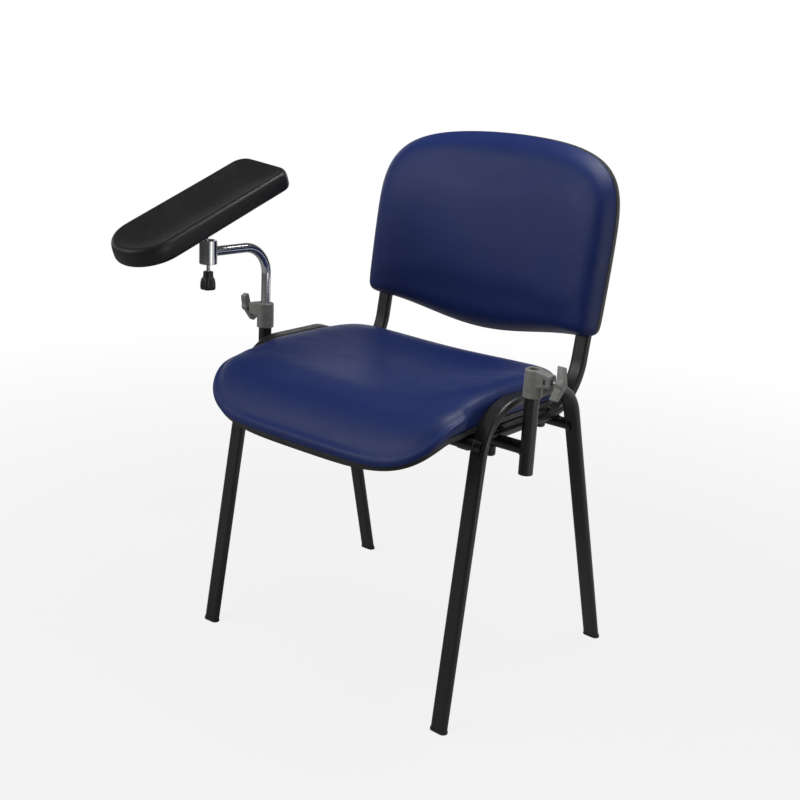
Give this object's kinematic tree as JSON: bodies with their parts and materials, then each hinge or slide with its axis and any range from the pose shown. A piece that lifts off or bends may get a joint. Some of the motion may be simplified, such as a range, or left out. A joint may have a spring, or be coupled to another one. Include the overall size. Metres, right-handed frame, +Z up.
{
  "type": "phlebotomy chair",
  "caption": "Padded visitor chair on a black oval-tube frame with clamp sockets at both sides and a height-adjustable, swinging and tilting padded arm rest for blood draws.",
  "frame": {"origin": "on the floor, in the middle of the whole object's plan; the padded arm makes this point lie a little off the chair's own mirror plane", "axes": "+Z up, the sitter faces -Y, +X is the sitter's left; the padded arm is at -X"},
  "size_m": [0.6702, 0.617, 0.842],
  "materials": {
    "black_steel": "semi-gloss black powder coat",
    "black_plastic": "satin moulded plastic",
    "grey_plastic": "satin moulded plastic",
    "chrome": "polished chrome plate",
    "zinc": "bright zinc plate",
    "nylon": "natural nylon",
    "blue_vinyl": "semi-gloss grained vinyl over foam",
    "plywood": "raw moulded plywood",
    "black_skin": "self-skinned polyurethane foam"
  },
  "bodies": {
    "frame": {"right_side_frame": "black_steel", "left_side_frame": "black_steel", "front_crossbar": "black_steel", "rear_crossbar": "black_steel", "right_back_support": "black_steel", "left_back_support": "black_steel", "right_socket_arm": "black_steel", "left_socket_arm": "black_steel", "right_socket_tube": "black_steel", "left_socket_tube": "black_steel", "right_clamp_collar": "grey_plastic", "left_clamp_collar": "grey_plastic", "right_clamp_nut": "zinc", "left_clamp_nut": "zinc", "front_feet": "black_plastic", "rear_feet": "black_plastic", "seat_pan": "black_plastic", "seat_board": "plywood", "seat_cushion": "blue_vinyl", "seat_bolts": "zinc", "seat_bolt_caps": "black_plastic", "back_shell": "black_plastic", "back_board": "plywood", "back_cushion": "blue_vinyl", "back_bolts": "zinc"},
    "right_clamp": {"right_clamp_screw": "zinc", "right_wing_knob": "grey_plastic"},
    "left_clamp": {"left_clamp_screw": "zinc", "left_wing_knob": "grey_plastic"},
    "glide": {"arm_glide": "nylon"},
    "arm": {"arm_tube": "chrome", "arm_tube_plug": "black_plastic", "ball_housing": "chrome", "pressure_pad": "nylon"},
    "lock": {"lock_screw": "zinc", "lock_knob": "black_plastic"},
    "ball_ring": {"ball_seat": "nylon"},
    "pad": {"ball_stud": "chrome", "pad_plate": "black_steel", "pad_screws": "zinc", "pad_board": "plywood", "arm_pad": "black_skin"}
  },
  "joints": [
    {"name": "arm_height", "type": "slide", "parent": "frame", "child": "glide", "axis": [0, 0, 1], "range_m": [-0.035, 0.06]},
    {"name": "arm_swing", "type": "hinge", "parent": "glide", "child": "arm", "pos_m": [-0.26494, -0.01067, 0.541], "axis": [0, 0, 1], "range_deg": [-110, 90]},
    {"name": "pad_turn", "type": "hinge", "parent": "arm", "child": "ball_ring", "pos_m": [-0.27148, -0.1355, 0.648], "axis": [0, 0, 1], "range_deg": [-90, 90]},
    {"name": "pad_tilt", "type": "hinge", "parent": "ball_ring", "child": "pad", "pos_m": [-0.27148, -0.1355, 0.648], "axis": [0.9976, -0.0698, 0], "range_deg": [-48, 8]},
    {"name": "ball_lock_turn", "type": "hinge", "parent": "arm", "child": "lock", "pos_m": [-0.27148, -0.1355, 0.588], "axis": [0, 0, 1], "range_deg": [-360, 360]},
    {"name": "right_clamp_turn", "type": "hinge", "parent": "frame", "child": "right_clamp", "pos_m": [-0.29494, -0.01067, 0.527], "axis": [1, 0, 0], "range_deg": [-360, 360]},
    {"name": "left_clamp_turn", "type": "hinge", "parent": "frame", "child": "left_clamp", "pos_m": [0.31306, -0.01067, 0.527], "axis": [1, 0, 0], "range_deg": [-360, 360]}
  ]
}
